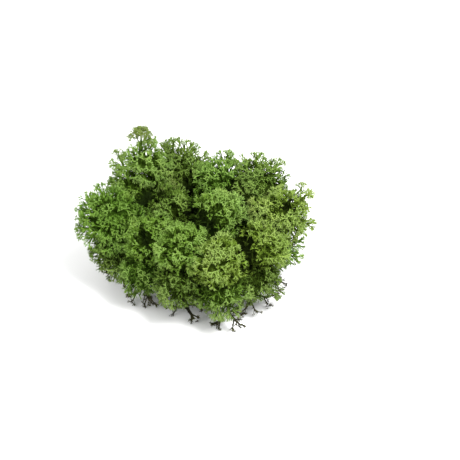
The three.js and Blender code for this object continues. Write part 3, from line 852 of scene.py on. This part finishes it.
    def grow(self):
        """Joins all that grows and ends the tree."""
        unhollowed = self.freedom(self.before(self.way)) * self.freedom(self.place)
        rounded = self.node("GeometryNodeSubdivisionSurface", Mesh=self.given["Geometry"],
                            Level=self.given["Rounding"], Edge_Crease=self.attribute("core"))
        base = self.noting(rounded, "open", self.clearance * unhollowed.lifted(LEAST_OPEN))
        tip = self.attribute("tip")
        grown = [base, *self.cover(base), self.shoots(base),
                 self.crowning(base, (tip > 0.9) * (tip < 1.5), "Crown", 50),
                 self.crowning(base, tip > 1.5, "Floret", 60)]
        joined = self.node("GeometryNodeJoinGeometry", grown)
        solid = self.node("GeometryNodeRealizeInstances", Geometry=joined)
        finished = self.node("GeometryNodeSetMaterial", Geometry=solid, Material=self.given["Material"])
        self.node("NodeGroupOutput", finished)


def growth_tree():
    """The one tree that all pieces grow by."""
    if "moss_growth" not in bpy.data.node_groups:
        Growth(bpy.data.node_groups.new("moss_growth", "GeometryNodeTree")).grow()
    return bpy.data.node_groups["moss_growth"]


def growing(node, seed, lean, changes):
    """The tree's inputs for a node, from the settings; lean growth has fewer fine branches."""
    cover = settings().cover
    inputs = {name: getattr(cover, name.lower().replace(" ", "_")) for name in COVER_INPUTS}
    inputs.update({
        "Neighbours": neighbours(node),
        "Hollows": hollow_points(),
        "Sprigs": sprigs_called("heads"),
        "Lesser Sprigs": sprigs_called("sprigs"),
        "Crowns": sprigs_called("crowns" if lean else "branchlets"),
        "Florets": sprigs_called("heads"),
        "Shoots": sprigs_called("shoots"),
        "Material": moss_material(node),
        "Rounding": 0,
        "Reach": settings().sprig.height,
        "Lumps": 1 / cover.lump_size,
        "Seed": cover.seed + seed,
    })
    inputs.update((name.replace("_", " "), value) for name, value in changes.items())
    return inputs


def grown_piece(node, seed, everywhere=False, overgrown=0.0, lean=False, **changes):
    """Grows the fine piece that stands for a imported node. Sprigs cover the node's core, or everywhere all of it, and
    its twigs too within the share of its reach that is overgrown."""
    base, middle, reach = growth_base(node, everywhere, overgrown)
    inputs = growing(node, seed, lean, changes)
    piece = added(node + "_growth", base)
    modifier = piece.modifiers.new("growth", "NODES")
    modifier.node_group = growth_tree()
    sockets = {s.name: s.identifier for s in modifier.node_group.interface.items_tree if s.in_out == "INPUT"}
    for name, value in inputs.items():
        modifier[sockets[name]] = value
    bpy.context.view_layer.update()
    graph = bpy.context.evaluated_depsgraph_get()
    mesh = bpy.data.meshes.new_from_object(piece.evaluated_get(graph), preserve_all_data_layers=True, depsgraph=graph)
    piece.modifiers.clear()
    piece.data = mesh
    mesh.name = node + "_growth"
    bpy.data.meshes.remove(base)
    for name in ("Neighbours", "Hollows"):
        bpy.data.objects.remove(inputs[name])
    mark_standing(mesh, middle, reach)
    for name in ("core", "tip", "way", "ahead", "free"):
        if name in mesh.attributes:
            mesh.attributes.remove(mesh.attributes[name])
    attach(piece, BODY)
    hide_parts(node)


# ---- Operators ----

SEED_STEP = 100  # between two tufts of a group
SIDE_SEED, UNDER_SEED, STEM_SEED = 2000, 4000, 5000  # where the groups start
OVERGROWN = {"tuft_high": 0.95, "tuft_back_top": 0.8, "tuft_back_right": 0.8, "tuft_right": 0.8}
UNCROWDED = {"tuft_high": {"Valley": 4.0 * MM, "Hidden": 0.25}}  # grows full although others are near
SIDE_DETAIL, UNDER_DETAIL = 0.8, 1.1  # the free room from which sprigs fork once more: under the clump none do
UNDER_HIDDEN = 0.99  # leaves out nearly every sprig with a tuft in front of it
STUB_INPUTS = {"Shoot_Spacing": 9.0 * MM, "Tilt": 0.9, "Smallest": 0.4, "Largest": 1.0, "Upright": 0.9, "Rounding": 1}


class MOSS_OT_top_tufts(Operator):
    """Grow the round tufts and open sprays of the heaped top"""

    bl_idname = "moss.top_tufts"
    bl_label = "Grow Top Tufts"

    def execute(self, context):
        for k, node in enumerate(TOP_TUFTS):
            grown_piece(node, SEED_STEP * k, overgrown=OVERGROWN.get(node, 0.0), **UNCROWDED.get(node, {}))
        return {"FINISHED"}


class MOSS_OT_side_tufts(Operator):
    """Grow the ring of tufts round the sides"""

    bl_idname = "moss.side_tufts"
    bl_label = "Grow Side Tufts"

    def execute(self, context):
        cover = settings().cover
        for k, node in enumerate(SIDE_TUFTS):
            apart = cover.back_spacing if "back" in node else cover.side_spacing
            grown_piece(node, SIDE_SEED + SEED_STEP * k, lean=True, Detail=SIDE_DETAIL, Spacing=apart)
        return {"FINISHED"}


class MOSS_OT_under_tuft(Operator):
    """Grow the pressed tuft that the clump lies on"""

    bl_idname = "moss.under_tuft"
    bl_label = "Grow Under Tuft"

    def execute(self, context):
        apart = settings().cover.under_spacing
        grown_piece(UNDER_TUFT, UNDER_SEED, lean=True, Detail=UNDER_DETAIL, Spacing=apart, Hidden=UNDER_HIDDEN)
        return {"FINISHED"}


class MOSS_OT_old_stems(Operator):
    """Round the bare old stems and set worn stubs along them"""

    bl_idname = "moss.old_stems"
    bl_label = "Grow Old Stems"

    def execute(self, context):
        stubs, apart = sprigs_called("stubs"), settings().cover.stub_spacing
        for k, node in enumerate(OLD_STEMS):
            grown_piece(node, STEM_SEED + SEED_STEP * k, everywhere=True, Spacing=apart, Sprigs=stubs,
                        Lesser_Sprigs=stubs, Crowns=stubs, **STUB_INPUTS)
        return {"FINISHED"}


class MOSS_OT_stage(Operator):
    """Lay the floor, hang the lights and set the camera"""

    bl_idname = "moss.stage"
    bl_label = "Set Stage"

    def execute(self, context):
        rules = settings().stage
        scene = context.scene
        half = rules.floor_size / 2
        mesh = bpy.data.meshes.new("floor")
        mesh.from_pydata([(-half, -half, 0), (half, -half, 0), (half, half, 0), (-half, half, 0)], [], [(0, 1, 2, 3)])
        floor = added("floor", mesh)
        material = bpy.data.materials.new("pale_floor")
        material.use_nodes = True
        shader = material.node_tree.nodes["Principled BSDF"]
        looks = {"Base Color": (*rules.floor_colour, 1.0), "Roughness": 0.9, "Specular IOR Level": 0.1}
        for name, value in looks.items():
            shader.inputs[name].default_value = value
        mesh.materials.append(material)

        world = bpy.data.worlds.new("studio")
        scene.world = world
        world.use_nodes = True
        sky = world.node_tree.nodes["Background"]
        sky.inputs["Color"].default_value = (1, 1, 1, 1)
        sky.inputs["Strength"].default_value = rules.sky_strength
        middle = Vector(rules.aim)
        for name in ("key", "fill"):
            light = bpy.data.lights.new(name + "_light", "AREA")
            light.size, light.energy = getattr(rules, name + "_size"), getattr(rules, name + "_power")
            lamp = added(name + "_light", light)
            lamp.location = getattr(rules, name + "_place")
            lamp.rotation_euler = (middle - lamp.location).to_track_quat("-Z", "Y").to_euler()

        camera = bpy.data.cameras.new("camera")
        camera.lens = rules.lens
        camera.sensor_width = 36
        camera.clip_start, camera.clip_end = 0.01, 20
        eye = added("camera", camera)
        back = Vector((0, -math.cos(rules.elevation), math.sin(rules.elevation)))
        eye.location = middle + back * rules.distance
        eye.rotation_euler = (-back).to_track_quat("-Z", "Y").to_euler()
        scene.camera = eye
        scene.view_settings.view_transform = "Standard"
        return {"FINISHED"}


class MOSS_PT_sidebar(Panel):
    """The clump's settings and operators"""

    bl_idname = "MOSS_PT_sidebar"
    bl_label = "Reindeer Moss Clump"
    bl_space_type = "VIEW_3D"
    bl_region_type = "UI"
    bl_category = "Moss"

    def draw(self, context):
        groups = context.scene.moss_clump
        for name in groups.__annotations__:
            group = getattr(groups, name)
            box = self.layout.box()
            box.label(text=name.capitalize())
            for setting_name in group.__annotations__:
                box.prop(group, setting_name)
        for cls in OPERATORS:
            self.layout.operator(cls.bl_idname)


OPERATORS = (MOSS_OT_stage, MOSS_OT_top_tufts, MOSS_OT_side_tufts, MOSS_OT_under_tuft, MOSS_OT_old_stems)
CLASSES = (SprigSettings, CoverSettings, MossColours, StageSettings, ClumpSettings, *OPERATORS, MOSS_PT_sidebar)


def register():
    """Registers the classes and hangs the settings on the scene."""
    for cls in CLASSES:
        bpy.utils.register_class(cls)
    bpy.types.Scene.moss_clump = PointerProperty(type=ClumpSettings)


def unregister():
    """Takes both away again."""
    del bpy.types.Scene.moss_clump
    for cls in reversed(CLASSES):
        bpy.utils.unregister_class(cls)


def main():
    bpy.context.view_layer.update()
    register()
    bpy.ops.moss.stage()
    bpy.ops.moss.top_tufts()
    bpy.ops.moss.side_tufts()
    bpy.ops.moss.under_tuft()
    bpy.ops.moss.old_stems()
    clear_sprigs()


if __name__ == "__main__":
    main()
